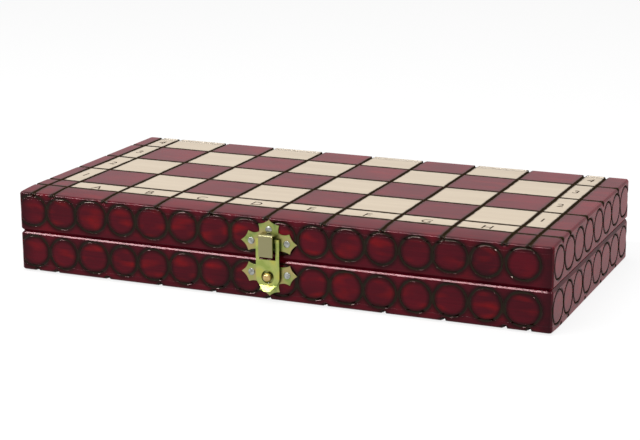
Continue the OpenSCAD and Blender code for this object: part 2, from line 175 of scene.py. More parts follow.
# %% [markdown]
# The case stands on white paper in a white room. The room and a soft panel overhead give
# the plain level of light, at which a colour renders about as it is written. A long tube
# runs along the case in front, above the left half. It draws the bright lines along the
# rim and in the rings. A small lamp at the upper right adds a second glint to each ring
# and to the ball. The paper looks white, and a little self-lit, to the camera and in
# reflections, so it stays white far back but keeps the case's shadow. The light that it
# throws back on the case is that of a grey table, so the upright sides stay deep.

# %% Floor, world and lamps
ROOM_LEVEL = 0.4
PAPER_GLOW = 0.82
FLOOR_HALF = 4.0
WHITE = "#FFFFFF"


def seen_directly(add):
    """1 for the rays that the camera, a reflection or a clear piece sees, and 0 for the rest."""
    rays = add("LightPath").node.outputs
    seen = add("MAXIMUM", rays["Is Camera Ray"], rays["Is Glossy Ray"])
    return add("MAXIMUM", seen, rays["Is Transmission Ray"])


world = bpy.data.worlds.new("white room")
bpy.context.scene.world = world
world.use_nodes = True
world.node_tree.nodes.clear()
add = adder(world.node_tree)
room, backdrop = add("Background", WHITE, ROOM_LEVEL), add("Background", WHITE, 1.0)
add("OutputWorld", add("MixShader", seen_directly(add), room, backdrop))

floor_mesh = bpy.data.meshes.new("floor")
floor_mesh.from_pydata([(x * FLOOR_HALF, y * FLOOR_HALF, 0) for x, y in ((-1, -1), (1, -1), (1, 1), (-1, 1))],
                       [], [(0, 1, 2, 3)])
paper, add = new_material("white seamless paper")
looks_white = add("MixShader", PAPER_GLOW, add("BsdfDiffuse", "#FAFAFA"), add("Emission", WHITE, 1.0))
table = add("BsdfDiffuse", "#A4A4A4")
add("OutputMaterial", add("MixShader", seen_directly(add), table, looks_white))
floor_mesh.materials.append(paper)
new_object("floor", floor_mesh)


def soft_lamp(name, azimuth, elevation, distance, width, height, radiance):
    """A rectangular lamp aimed at the case, with its width along the case's front. Its
    watts come from how bright its face looks."""
    lamp = bpy.data.lights.new(name, "AREA")
    lamp.shape = "RECTANGLE"
    lamp.size, lamp.size_y = width, height
    lamp.energy = radiance * math.pi * width * height
    facing = towards(math.radians(azimuth), math.radians(elevation))
    long_side = (Vector((1, 0, 0)) - facing * facing.x).normalized()
    turn = Matrix((long_side, facing.cross(long_side), facing)).transposed().to_4x4()
    new_object(name, lamp).matrix_world = Matrix.Translation(facing * distance) @ turn


soft_lamp("tube_in_front", -37, 49.7, 1.467, 1.5, 0.05, 52)
soft_lamp("lamp_right", 35.5, 36.5, 1.4, 0.1, 0.1, 120)
soft_lamp("panel_overhead", 0, 90, 1.8, 1.6, 1.6, 2.3)

# %% [markdown]
# ## The wood
# The case is a pale close-grained wood such as lime or birch. The dark fields and the
# sides are stained maroon, the lines and rings are burnt in with hot irons, and glossy
# lacquer covers all of it. So one recipe serves every piece. It starts from bare wood,
# adds stain where the piece's stain attribute says so, chars it by its distance to
# the nearest burnt line, and puts the lacquer over all of that as a clear coat.

# %% Wood recipe
FIBRE_WIDTH = 0.7 * MM
FIBRE_LENGTH = 45 * MM
FIGURE_WIDTH = 9 * MM
FIGURE_LENGTH = 120 * MM
BRUSH_WIDTH = 5 * MM
BRUSH_LENGTH = 18 * MM
MOTTLE = 17 * MM
TONE = 38 * MM
SOOT_SPECKS, BURN_PATCHES = 1.1 * MM, 5 * MM
RIPPLE = 1.5 * MM
# How far in from each end the painted shade at the front's corners reaches.
CORNER_SHADE_REACH = 11 * MM
CLEAR_SHARE = 0.3
CLEAR_IN_RING = 0.9
GLOSS_SHARE = 0.3
POOLED_GLOSS = 0.34
FRONT, RIGHT, LEFT = 1.0, 2.0, 3.0
LACQUER = {"Coat Weight": 0.15, "Coat Roughness": 0.06, "Coat IOR": 1.45}


def drawn_out_noise(add, place, grain_axis, width, length, shift, detail=2.0):
    """Noise that is stretched along the grain."""
    scale = [1 / width] * 3
    scale[grain_axis] = 1 / length
    stretched = add("Mapping", place, (shift, shift, shift), inputs={"Scale": scale})
    return add("TexNoise", stretched, 1.0, detail)


def two_tone(add, value, dark, pale):
    """A blend of two colours over the middle of a noise's range."""
    return add("Mix", add("MapRange", value, 0.32, 0.68), dark, pale, **COLOURS)


def lacquered_wood(name, grain_axis, shift=0.0, burnt=True, stain_from=None):
    material, add = new_material(name)
    place = add("TexCoord", output="Object")
    fibres = drawn_out_noise(add, place, grain_axis, FIBRE_WIDTH, FIBRE_LENGTH, shift, 3.0)
    figure = drawn_out_noise(add, place, grain_axis, FIGURE_WIDTH, FIGURE_LENGTH, shift + 7)
    brush = drawn_out_noise(add, place, grain_axis, BRUSH_WIDTH, BRUSH_LENGTH, shift + 3, 0.0)
    mottle = add("TexNoise", place, 1 / MOTTLE)
    grain = add("Mix", 0.5, fibres, figure)

    # Bare wood is cream. Stain is a dark maroon that soaks in unevenly, and it shows a
    # clearer red in streaks where the brush left less of it, most of all within a ring.
    tone = add("Mix", 0.6, grain, add("TexNoise", place, 1 / TONE))
    bare = two_tone(add, grain, "#B9A892", "#C7B7A0")
    stained = two_tone(add, tone, "#350310", "#5E0719")
    clear_red = two_tone(add, grain, "#6E080F", "#820B12")
    streaks = add("MULTIPLY", add("MapRange", brush, 0.48, 0.72), add("MapRange", mottle, 0.38, 0.6))
    clear = CLEAR_SHARE
    if burnt:
        in_ring = add("Attribute", attribute_name="in_ring", output="Fac")
        clear = add("MapRange", in_ring, 0.0, 1.0, CLEAR_SHARE, CLEAR_IN_RING)
    maroon = add("Mix", add("MULTIPLY", streaks, clear), stained, clear_red, **COLOURS)
    if burnt:
        # Painted shade: the colour of the front darkens towards its upright corners, mixed towards a
        # near-black maroon.
        row = add("Attribute", attribute_name="row", output="Fac")
        in_front = add("COMPARE", row, FRONT, 0.25)
        across = add("ABSOLUTE", add("SeparateXYZ", place))
        edge = add("MapRange", across, CASE_W / 2 - CORNER_SHADE_REACH, CASE_W / 2 - 1 * MM, 0.0, 0.75, **SMOOTHLY)
        maroon = add("Mix", add("MULTIPLY", edge, in_front), maroon, "#23020A", **COLOURS)
    stain = stain_from(add, place) if stain_from else add("Attribute", attribute_name="stain", output="Fac")
    wood = add("Mix", stain, bare, maroon, **COLOURS)

    # Burning: black in the line itself, and a soft brown scorch beside it, which spreads
    # further under the stain. The distance to the line is in millimetres.
    if burnt:
        fine_error = add("MapRange", add("TexNoise", place, 1 / SOOT_SPECKS, 3.0), 0.3, 0.7, -0.14, 0.14)
        broad_error = add("MapRange", add("TexNoise", place, 1 / BURN_PATCHES), 0.3, 0.7, -0.22, 0.22)
        distance = add("Attribute", attribute_name="from_line", output="Fac")
        distance = add("ADD", distance, add("ADD", fine_error, broad_error))
        reach = add("MapRange", stain, 0.0, 1.0, 1.7, 3.4)
        scorch = add("MapRange", distance, 0.3, reach, 0.9, 0.0, **SMOOTHLY)
        wood = add("Mix", scorch, wood, "#40220F", blend_type="MULTIPLY", **COLOURS)
        char = add("MapRange", distance, 0.35, 0.85, 1.0, 0.0, **SMOOTHLY)
        wood = add("Mix", char, wood, two_tone(add, mottle, "#0F0805", "#1E150A"), **COLOURS)

    # Clear lacquer lies over all of it. Part of the dye has bled into it, so the stained
    # fields have a tinted gloss, and a red bloom where they are seen at a low angle. The
    # lacquer ripples a little over the fine fibres.
    fibre_bump = add("Bump", inputs={"Strength": 0.3, "Distance": 0.05 * MM, "Height": grain})
    ripple = add("Bump", inputs={"Strength": 0.6, "Distance": 0.05 * MM,
                                 "Height": add("TexNoise", place, 1 / RIPPLE)})
    gloss_tint = add("Mix", stain, "#FFF4E4", "#E89098", **COLOURS)
    bloom = add("Mix", stain, "#FFF4E4", "#FF6070", **COLOURS)
    gloss = GLOSS_SHARE
    if burnt:
        # The lacquer has pooled in the rings of the front. The ruled lines stay matt.
        gloss_tint = add("Mix", char, gloss_tint, "#D0BE9C", **COLOURS)
        gloss = add("MapRange", add("MULTIPLY", char, in_front), 0.0, 1.0, GLOSS_SHARE, POOLED_GLOSS)
    matt = add("BsdfPrincipled", inputs={
        "Base Color": wood, "Roughness": 0.55, "Specular IOR Level": 0.0, "Normal": fibre_bump,
        "Sheen Weight": 1.0, "Sheen Roughness": 0.3, "Sheen Tint": bloom, "Coat Normal": ripple, **LACQUER})
    glossy = add("BsdfPrincipled", inputs={
        "Base Color": wood, "Roughness": 0.085, "Specular Tint": gloss_tint, "Normal": ripple,
        "Coat Normal": ripple, **LACQUER})
    surface = add("MixShader", gloss, matt, glossy)
    if burnt:
        soot = add("BsdfPrincipled", inputs={
            "Base Color": "#30261A", "Roughness": 0.6, "Specular IOR Level": 0.0,
            "Normal": fibre_bump})
        dry = add("MULTIPLY", char, add("SUBTRACT", 1.0, in_front))
        surface = add("MixShader", dry, surface, soot)
    add("OutputMaterial", surface)
    return material


def stained_outside(add, place):
    """The back walls come from the frame, so depth tells where their stain is: not inside."""
    inner_y = CASE_D / 2 - WALL_T
    return add("MapRange", add("SeparateXYZ", place, output="Y"), inner_y + 0.2 * MM, inner_y + 0.6 * MM)


ALONG_X, ALONG_Y = 0, 1
long_grain = lacquered_wood("lacquered wood, grain along the case", ALONG_X)
cross_grain = lacquered_wood("lacquered wood, grain across the case", ALONG_Y, shift=3.0)
back_grain = lacquered_wood("lacquered wood, back walls", ALONG_X, shift=5.0, burnt=False,
                            stain_from=stained_outside)
for node in ("base_back_wall", "lid_back_wall"):
    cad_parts[node].data.materials.clear()
    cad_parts[node].data.materials.append(back_grain)
print("woods:", [m.name for m in (long_grain, cross_grain, back_grain)])

# %% [markdown]
# ## The ring ornament, as Geometry Nodes
# A row of rings is burnt round the front and the ends with a heated tube. The rings stand
# at one pitch but are set by hand, so each is a little off. The tree takes a finely
# divided face, finds the nearest ring for every point from the point's distance along
# the row, and presses the point in where the ring's line runs. Each ring's own small
# errors come from a random value that is keyed to its number in the row.

# %% Ring tree
RING_PITCH = 20.9 * MM
RING_RADIUS = 9.5 * MM
RING_LINE = 1.65 * MM
RING_DEPTH = 0.65 * MM
RING_CROWDING = 0.8 * MM
RING_HEIGHT = {"base": 13.6 * MM, "lid": 12.2 * MM}
RING_SQUEEZE = -0.4 * MM
RING_UNEVENNESS = 0.6 * MM
FRONT_RING_START = 9.3 * MM
END_RING_START = 12 * MM
FAR = 1.0


def new_geometry_tree(name, sockets):
    """A tree with these inputs besides its geometry, the function that adds to it, and its inputs."""
    tree = bpy.data.node_groups.new(name, "GeometryNodeTree")
    tree.is_modifier = True
    for in_out in ("INPUT", "OUTPUT"):
        tree.interface.new_socket("Geometry", in_out=in_out, socket_type="NodeSocketGeometry")
    for socket_name, kind in sockets:
        tree.interface.new_socket(socket_name, in_out="INPUT", socket_type="NodeSocket" + kind)
    return tree, adder(tree), tree.nodes.new("NodeGroupInput").outputs


def finish_tree(add, geometry, material):
    realized = add("RealizeInstances", geometry)
    add("NodeGroupOutput", add("SetMaterial", realized, inputs={"Material": material}))


def ring_tree():
    floats = ("Row", "First Centre", "Pitch", "Count", "Radius", "Height", "Line Width", "Line Depth",
              "Squeeze", "Unevenness")
    tree, add, given = new_geometry_tree("burnt rings", [
        *((name, "Float") for name in floats), ("Seed", "Int"), ("Material", "Material")])
    along, height, row, from_line = (
        add("InputNamedAttribute", name) for name in ("along", "height", "row", "from_line"))
    number = add("SUBTRACT", along, given["First Centre"])
    number = add("ROUND", add("DIVIDE", number, given["Pitch"]))
    nearest, inside, heat = FAR, 0.0, 0.0
    for step in (-1.0, 0.0, 1.0):
        ring = add("ADD", number, step)
        errors = []
        for salt in (0.0, 11.0, 23.0, 37.0):
            random = add("RandomValue", -1.0, 1.0, ring, add("ADD", given["Seed"], salt))
            errors.append(add("MULTIPLY", random, given["Unevenness"]))
        centre = add("MULTIPLY_ADD", ring, given["Pitch"], given["First Centre"])
        across = add("SUBTRACT", along, add("ADD", centre, errors[0]))
        squeeze = add("MULTIPLY_ADD", errors[2], 1.1, given["Squeeze"])
        across = add("ADD", add("ABSOLUTE", across), squeeze)
        level = add("MULTIPLY_ADD", errors[1], 0.5, given["Height"])
        rise = add("SUBTRACT", height, level)
        radius = add("MULTIPLY_ADD", errors[3], 0.4, given["Radius"])
        out = add("MULTIPLY_ADD", across, across, add("MULTIPLY", rise, rise))
        signed = add("SUBTRACT", add("SQRT", out), radius)
        # Rings that the row doesn't have are put far away.
        below = add("LESS_THAN", ring, -0.5)
        last = add("SUBTRACT", given["Count"], 0.5)
        absent = add("ADD", below, add("GREATER_THAN", ring, last))
        distance = add("MULTIPLY_ADD", absent, FAR, add("ABSOLUTE", signed))
        within = add("LESS_THAN", add("MULTIPLY_ADD", absent, FAR, signed), 0.0)
        nearest = add("MINIMUM", nearest, distance)
        inside = add("MAXIMUM", inside, within)
        cooled = add("DIVIDE", distance, -RING_CROWDING)
        heat = add("ADD", heat, add("EXPONENT", cooled))

    half_line = add("MULTIPLY", given["Line Width"], 0.12)
    shoulder = add("MULTIPLY", given["Line Width"], 0.62)
    pressed = add("MapRange", nearest, half_line, shoulder, given["Line Depth"], 0.0)
    unsteady = add("TexNoise", inputs={"Scale": 1 / (5 * MM), "Detail": 1.0})
    pressed = add("MULTIPLY", pressed, add("MapRange", unsteady, 0.3, 0.7, 0.92, 1.06))
    inward = add("InputNamedAttribute", "inward", data_type="FLOAT_VECTOR")
    offset = add("VectorMath", inward, pressed, operation="SCALE")
    on_row = add("Compare", row, given["Row"], operation="EQUAL", inputs={"Epsilon": 0.1})
    moved = add("SetPosition", given["Geometry"], on_row, inputs={"Offset": offset})
    # Two rings that nearly touch burn the wood between them, so their heat is added up.
    heated = add("MULTIPLY", add("LOGARITHM", heat, math.e), -RING_CROWDING)
    closest = add("MINIMUM", add("DIVIDE", heated, MM), from_line)
    stored = add("StoreNamedAttribute", moved, on_row, "from_line", closest)
    finish_tree(add, add("StoreNamedAttribute", stored, on_row, "in_ring", inside), given["Material"])
    return tree


burnt_rings = ring_tree()


def bake_tree(piece, tree, values):
    """Run a tree on a piece with the named input values, and keep the plain mesh it makes."""
    modifier = piece.modifiers.new(tree.name, "NODES")
    modifier.node_group = tree
    keys = {item.name: item.identifier for item in tree.interface.items_tree if item.in_out == "INPUT"}
    for name, value in values.items():
        modifier[keys[name]] = value
    piece.update_tag()
    made, old = evaluated_mesh(piece), piece.data
    piece.modifiers.remove(modifier)
    piece.data = made
    bpy.data.meshes.remove(old)
    made.name = piece.name


def ring_count(length, start):
    return int((length - RING_RADIUS - start) / RING_PITCH) + 1


def press_rings(piece, half, row, seed, material):
    front = row == FRONT
    start = FRONT_RING_START if front else END_RING_START
    bake_tree(piece, burnt_rings, {
        "Row": row, "First Centre": start, "Pitch": RING_PITCH,
        "Count": float(ring_count(CASE_W if front else CASE_D, start)), "Radius": RING_RADIUS,
        "Height": RING_HEIGHT[half], "Line Width": RING_LINE, "Line Depth": RING_DEPTH,
        "Squeeze": RING_SQUEEZE, "Unevenness": RING_UNEVENNESS, "Seed": seed, "Material": material})


print("rings:", ring_count(CASE_W, FRONT_RING_START), "along the front,",
      ring_count(CASE_D, END_RING_START), "along an end")

# %% [markdown]
# ## The side walls
# Each wall is a mitred strip. Its section is swept along the outline of the case, which
# turns an eighth of a circle at each end, so that two walls meet on the mitre. The outer
# face is divided every third of a millimetre, finely enough for the rings' lines.

# %% Wall strips
FINE = 0.34 * MM
CORNER_R = 2.4 * MM
RIM_EDGE = (0.5 * MM, 1.6 * MM, 0.5 * MM, 52, 4)
INNER_R = 0.5 * MM
OUTER_SHARE = 0.3
NO_LINE = 99.0

SIDES = {}
for name, along, row in (("front", (1, 0), FRONT), ("right", (0, 1), RIGHT),
                         ("back", (-1, 0), 0.0), ("left", (0, -1), LEFT)):
    half_length, reach = (CASE_W / 2, CASE_D / 2) if along[0] else (CASE_D / 2, CASE_W / 2)
    SIDES[name] = {"along": np.array(along), "out": np.array((along[1], -along[0])),
                   "half": half_length, "reach": reach, "row": row}


def along_row(side, place):
    """How far along its row of rings a place lies: along X in front, and along Y at an end."""
    return place[0] + CASE_W / 2 if side["row"] == FRONT else place[1] + CASE_D / 2


def arc(centre, radius, start, end, steps):
    """Points of an arc from one angle to another, in degrees."""
    return [(centre[0] + radius * math.cos(math.radians(start + (end - start) * i / steps)),
             centre[1] + radius * math.sin(math.radians(start + (end - start) * i / steps)))
            for i in range(steps + 1)]


def eased_edge(lead_in, flat, lead_out, slope, flat_steps):
    """A rounded edge with a flat on it, from a level face to an upright one. It gives
    (distance out, distance down, turn of the normal in degrees) from where it begins."""
    points, out, down = [], 0.0, 0.0
    for radius, start, end, steps in ((lead_in, 0, slope, 3), (0, slope, slope, flat_steps),
                                      (lead_out, slope, 90, 3)):
        for i in range(steps):
            a = math.radians(start + (end - start) * (i + 0.5) / steps)
            length = radius * math.radians(end - start) / steps if radius else flat / steps
            out += length * math.cos(a)
            down += length * math.sin(a)
            points.append((out, down, start + (end - start) * (i + 1) / steps))
    return points


def outline_stations(side):
    """Places along one side of the outline: (distance along, depth, turn of the normal)."""
    straight = side["half"] - CORNER_R
    count = int(2 * straight / FINE)
    stations = [(-straight + 2 * straight * i / count, 0.0, 0.0) for i in range(count + 1)]
    turns = [math.radians(45 * i / 6) for i in range(1, 7)]
    rounded = [(straight + CORNER_R * math.sin(a), CORNER_R * (1 - math.cos(a)), a) for a in turns]
    return [(-t, d, -a) for t, d, a in reversed(rounded)] + stations + rounded


def wall_section():
    """The section from the board's joint up the outside, over the rim and down inside,
    as (share of the wall's thickness, height, stain, roundness)."""
    foot, rim = BOARD_T, HALF_H
    edge = eased_edge(*RIM_EDGE)
    width, drop = edge[-1][:2]
    outer_rows = int((rim - drop - foot) / FINE)
    section = [(0.0, foot + (rim - drop - foot) * i / outer_rows, 1.0, 0.0) for i in range(outer_rows + 1)]
    section += [((width - out) / WALL_T, rim - down, 1.0, 1.0) for out, down, turn in reversed(edge[:-1])]
    section += [(width / WALL_T, rim, 1.0, 1.0), (0.35, rim, 1.0, 1.0), (0.8, rim, 0.9, 1.0)]
    section += [(x / WALL_T, z, 0.5, 1.0)
                for x, z in arc((WALL_T - INNER_R, rim - INNER_R), INNER_R, 90, 0, 3)]
    section += [(1.0, foot + (rim - foot) * share, 0.0, 1.0) for share in (0.9, 0.5, 0.0)]
    return section


def new_piece(name, points, faces, attributes, material):
    """A closed piece with its point attributes, with every face out and smoothly shaded."""
    mesh = bpy.data.meshes.new(name)
    mesh.from_pydata([tuple(p) for p in points], [], faces)
    for attribute_name, values in attributes.items():
        values = np.asarray(values, np.float32)
        kind, key = ("FLOAT_VECTOR", "vector") if values.ndim == 2 else ("FLOAT", "value")
        mesh.attributes.new(attribute_name, kind, "POINT").data.foreach_set(key, values.ravel())
    mesh.materials.append(material)
    mesh.validate()
    shell = bmesh.new()
    shell.from_mesh(mesh)
    bmesh.ops.recalc_face_normals(shell, faces=shell.faces)
    shell.to_mesh(mesh)
    shell.free()
    mesh.shade_smooth()
    return new_object(name, mesh)


def stand_in(piece, body, node):
    """Let a piece ride on a body in the place of one of the frame's nodes."""
    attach(piece, body)
    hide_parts(node)
    print(piece.name, len(piece.data.polygons), "faces")


def in_half(half, height):
    return height if half == "base" else CASE_H - height


def point_store(half):
    """Points, the attributes that the wood and the rings read, and what puts a point there."""
    names = ("inward", "stain", "along", "height", "row", "from_line", "in_ring")
    points, data = [], {name: [] for name in names}

    def put(x, y, height, stain, from_line=NO_LINE, inward=(0, 0), row=0.0, along=0.0):
        points.append((x, y, in_half(half, height)))
        for values, value in zip(data.values(), ((*inward, 0), stain, along, height, row, from_line, 0.0)):
            values.append(value)
        return len(points) - 1

    return points, data, put


def wall_strip(half, side_name):
    side = SIDES[side_name]
    stations, section = outline_stations(side), wall_section()
    narrowing = 1 - (side["half"] - WALL_T) / stations[-1][0]
    points, data, put = point_store(half)
    for t, depth, turned in stations:
        normal = math.sin(turned) * side["along"] + math.cos(turned) * side["out"]
        for share, height, stained, rounded in section:
            place = (side["along"] * t * (1 - share * narrowing)
                     + side["out"] * (side["reach"] - depth - share * (WALL_T - depth)))
            row = side["row"] if share < OUTER_SHARE else 0.0
            put(*place, height, stained, NO_LINE, -normal * (1 - rounded), row, along_row(side, place))
    rows, ring = len(stations), len(section)
    faces = [(i * ring + j, (i + 1) * ring + j, (i + 1) * ring + (j + 1) % ring, i * ring + (j + 1) % ring)
             for i in range(rows - 1) for j in range(ring)]
    ends = [list(range(ring)), list(range((rows - 1) * ring, rows * ring))[::-1]]
    material = long_grain if side_name == "front" else cross_grain
    piece = new_piece(f"{half}_{side_name}_strip", points, faces + ends, data, material)
    for face in piece.data.polygons[len(faces):]:
        face.use_smooth = False
    press_rings(piece, half, side["row"], SEEDS[half, side_name], material)
    stand_in(piece, half, f"{half}_{side_name}_wall")


SEEDS = {(half, side): 31 * i + 7 * j
         for i, half in enumerate(("base", "lid")) for j, side in enumerate(SIDES)}
for half in ("base", "lid"):
    for side_name in ("front", "right", "left"):
        wall_strip(half, side_name)

# %% [markdown]
# ## The playing boards
# A board is one panel with burnt lines ruled over it in both directions. The lines run
# out over every edge, where the hot iron left small notches. The light squares, the
# letter cells and the number cells are left bare. They are pieces of their own here, and
# they meet the stained fields at the bottom of the lines.
#
# The face is a grid with a few extra rows close to each line. Round it runs a fine band
# that turns over the edge and down to the joint with the walls, so that the rings'
# lines can cross the joint.

# %% Lines of a board
SQUARE = 36 * MM
BORDER_D = 19 * MM
LETTER_D = 15 * MM
NUMBER_W = 14 * MM
FILES = 8
FULL_RANKS = 3
SHIFT = {"base": 1 * MM, "lid": 2 * MM}
BOARD_HALF = FILES * SQUARE / 2
LINE_DEPTH = 0.9
NOTCH_DEPTH = 1.7
NOTCH_HALF = 0.4
BOARD_CHAR = 0.6
ROLL_OFF = 1.1 * MM
BOARD_EDGE = (0.8 * MM, 0.7 * MM, 0.8 * MM, 58, 2)
BAND_IN = CORNER_R
GRID_IN = 2.8 * MM
GRID_STEP = 4 * MM
CELL_FLOOR = 1.3 * MM
UNDER_IN = 9 * MM
SIGN_T = 0.03 * MM
NOTCH_FADE = (1.6 * MM, 3.4 * MM)
BACK_BARE = (1.0 * MM, 1.5 * MM)
DEEPER_CHAR = 0.3
COOLED = 3.0
OFF_LINE = 9.0
STRAY = 0.1 * MM
HELD, LET_GO = 1.2 * MM, 3.5 * MM
STILL_RIM = 2 * MM
LONG_SWAY, SHORT_SWAY = 23 * MM, 9 * MM
GROOVE_FLOOR, GROOVE_SHOULDER = 0.25, 1.05
BESIDE_LINE = (0, 0.25, 0.45, 0.65, 0.85, 1.05, 1.5, 2.3)
CLEAR_OF_LINE = 2.6 * MM


def lines_of(half):
    xs = np.append(np.arange(FILES + 1) * SQUARE, (-NUMBER_W, FILES * SQUARE + NUMBER_W)) - BOARD_HALF
    ys = FRONT_Y + BORDER_D + np.append(0.0, LETTER_D + np.arange(FULL_RANKS + 1) * SQUARE)
    return np.sort(xs) - SHIFT[half], ys


def smooth(low, high, value):
    share = np.clip((value - low) / (high - low), 0, 1)
    return share * share * (3 - 2 * share)


def sway(phase, where):
    """How far a hand-guided line strays sideways at a place along it."""
    return STRAY * (np.sin(where / LONG_SWAY + phase) + 0.6 * np.sin(where / SHORT_SWAY + 2.7 * phase))


def line_distance(values, lines):
    return np.min(np.abs(values[:, None] - lines[None, :]), axis=1) / MM


def pressed_depth(distance_mm):
    return LINE_DEPTH * MM * (1 - smooth(GROOVE_FLOOR, GROOVE_SHOULDER, distance_mm))


def roll_off(y):
    """The plain border in front falls away gently towards the front edge."""
    share = np.clip((FRONT_Y + BORDER_D - y) / BORDER_D, 0, 1)
    return ROLL_OFF * share ** 1.6


def is_light(half, column, rank):
    """Columns and ranks count from the outer border; the board's own start at 2."""
    if rank <= 1:
        return rank == 1 and 2 <= column <= 9
    dark_corner = 1 if half == "lid" else 0
    return column in (1, 10) or 1 < column < 10 and (column + rank) % 2 == dark_corner


def grid_stations(lines, end, step):
    places = set(np.round(np.arange(-end, end + step / 2, (2 * end) / round(2 * end / step)), 7))
    for line in lines:
        places = {p for p in places if abs(p - line) > CLEAR_OF_LINE}
        places |= {round(float(line + s * o * MM), 7) for o in BESIDE_LINE for s in (-1, 1)}
    return np.array(sorted(p for p in places if abs(p) <= end + 1e-7))


# %% Board pieces
def stray(places, lines, along_places, phase):
    """How far the grid's points stray across with the lines that they lie on."""
    strayed = np.zeros((len(places), len(along_places)))
    for k, line in enumerate(lines):
        near = 1 - smooth(HELD, LET_GO, np.abs(places - line))
        strayed += near[:, None] * sway(k + phase, along_places)[None, :]
    return strayed


def board_face(half):
    """The grid of the face: its stations, the points' places, depths and distances to a
    line, and which cells are bare."""
    line_xs, line_ys = lines_of(half)
    end_x, end_y = CASE_W / 2 - GRID_IN, CASE_D / 2 - GRID_IN
    xs, ys = grid_stations(line_xs, end_x, GRID_STEP), grid_stations(line_ys, end_y, GRID_STEP)
    gap = np.minimum(line_distance(xs, line_xs)[:, None], line_distance(ys, line_ys)[None, :])
    depth = pressed_depth(gap) + roll_off(ys)[None, :]
    inside = (smooth(end_x, end_x - STILL_RIM, np.abs(xs))[:, None]
              * smooth(end_y, end_y - STILL_RIM, np.abs(ys))[None, :])
    px = xs[:, None] + stray(xs, line_xs, ys, 0.3) * inside
    py = ys[None, :] + stray(ys, line_ys, xs, 5.1).T * inside
    columns = np.searchsorted(line_xs, (xs[:-1] + xs[1:]) / 2)
    ranks = np.searchsorted(line_ys, (ys[:-1] + ys[1:]) / 2)
    light = np.array([[is_light(half, c, r) for r in ranks] for c in columns])
    return xs, ys, px, py, depth, gap, light


def cell_corners(i, j):
    return [(i, j), (i + 1, j), (i + 1, j + 1), (i, j + 1)]


def edge_walls(light, grid_point):
    """Upright faces where a bare cell meets a stained one or the end of the grid."""
    bare = set(zip(*np.nonzero(light)))
    faces = []
    for i, j in sorted(bare):
        ring = cell_corners(i, j)
        for k, (di, dj) in enumerate(((0, -1), (1, 0), (0, 1), (-1, 0))):
            if (i + di, j + dj) not in bare:
                a, b = ring[k], ring[(k + 1) % 4]
                faces.append([grid_point(*place, under) for place, under in ((a, 0), (b, 0), (b, 1), (a, 1))])
    return faces


def edge_profile():
    """The band's section: from the face over the rounded edge and down to the joint, as
    (inset from the outline, height, how much of it faces out)."""
    edge = eased_edge(*BOARD_EDGE)
    width, drop = edge[-1][:2]
    points = [(BAND_IN, 0.0, 0.0), (width, 0.0, 0.0)]
    points += [(width - out, down, math.radians(turn)) for out, down, turn in edge]
    rows = int((BOARD_T - drop) / FINE)
    points += [(0.0, drop + (BOARD_T - drop) * i / rows, math.pi / 2) for i in range(1, rows + 1)]
    return points


def zip_chains(a_ids, a_at, b_ids, b_at):
    """Triangles between two chains of points that run side by side."""
    faces, i, j = [], 0, 0
    while i < len(a_ids) - 1 or j < len(b_ids) - 1:
        if j == len(b_ids) - 1 or (i < len(a_ids) - 1 and a_at[i + 1] <= b_at[j + 1]):
            faces.append((a_ids[i], a_ids[i + 1], b_ids[j]))
            i += 1
        else:
            faces.append((a_ids[i], b_ids[j + 1], b_ids[j]))
            j += 1
    return faces


def grid_placer(face_grid, put, stain, lift=0.0):
    """What gives a grid point's number, and puts it there when it is first asked for. A
    sunk point lies on the floor under the bare fields."""
    px, py, depth, gap = face_grid[2:6]
    known = {}

    def grid_point(i, j, sunk):
        if (i, j, sunk) not in known:
            height = CELL_FLOOR if sunk else depth[i, j] + lift
            known[i, j, sunk] = put(px[i, j], py[i, j], height, stain, max(0.0, gap[i, j] - BOARD_CHAR))
        return known[i, j, sunk]

    return grid_point


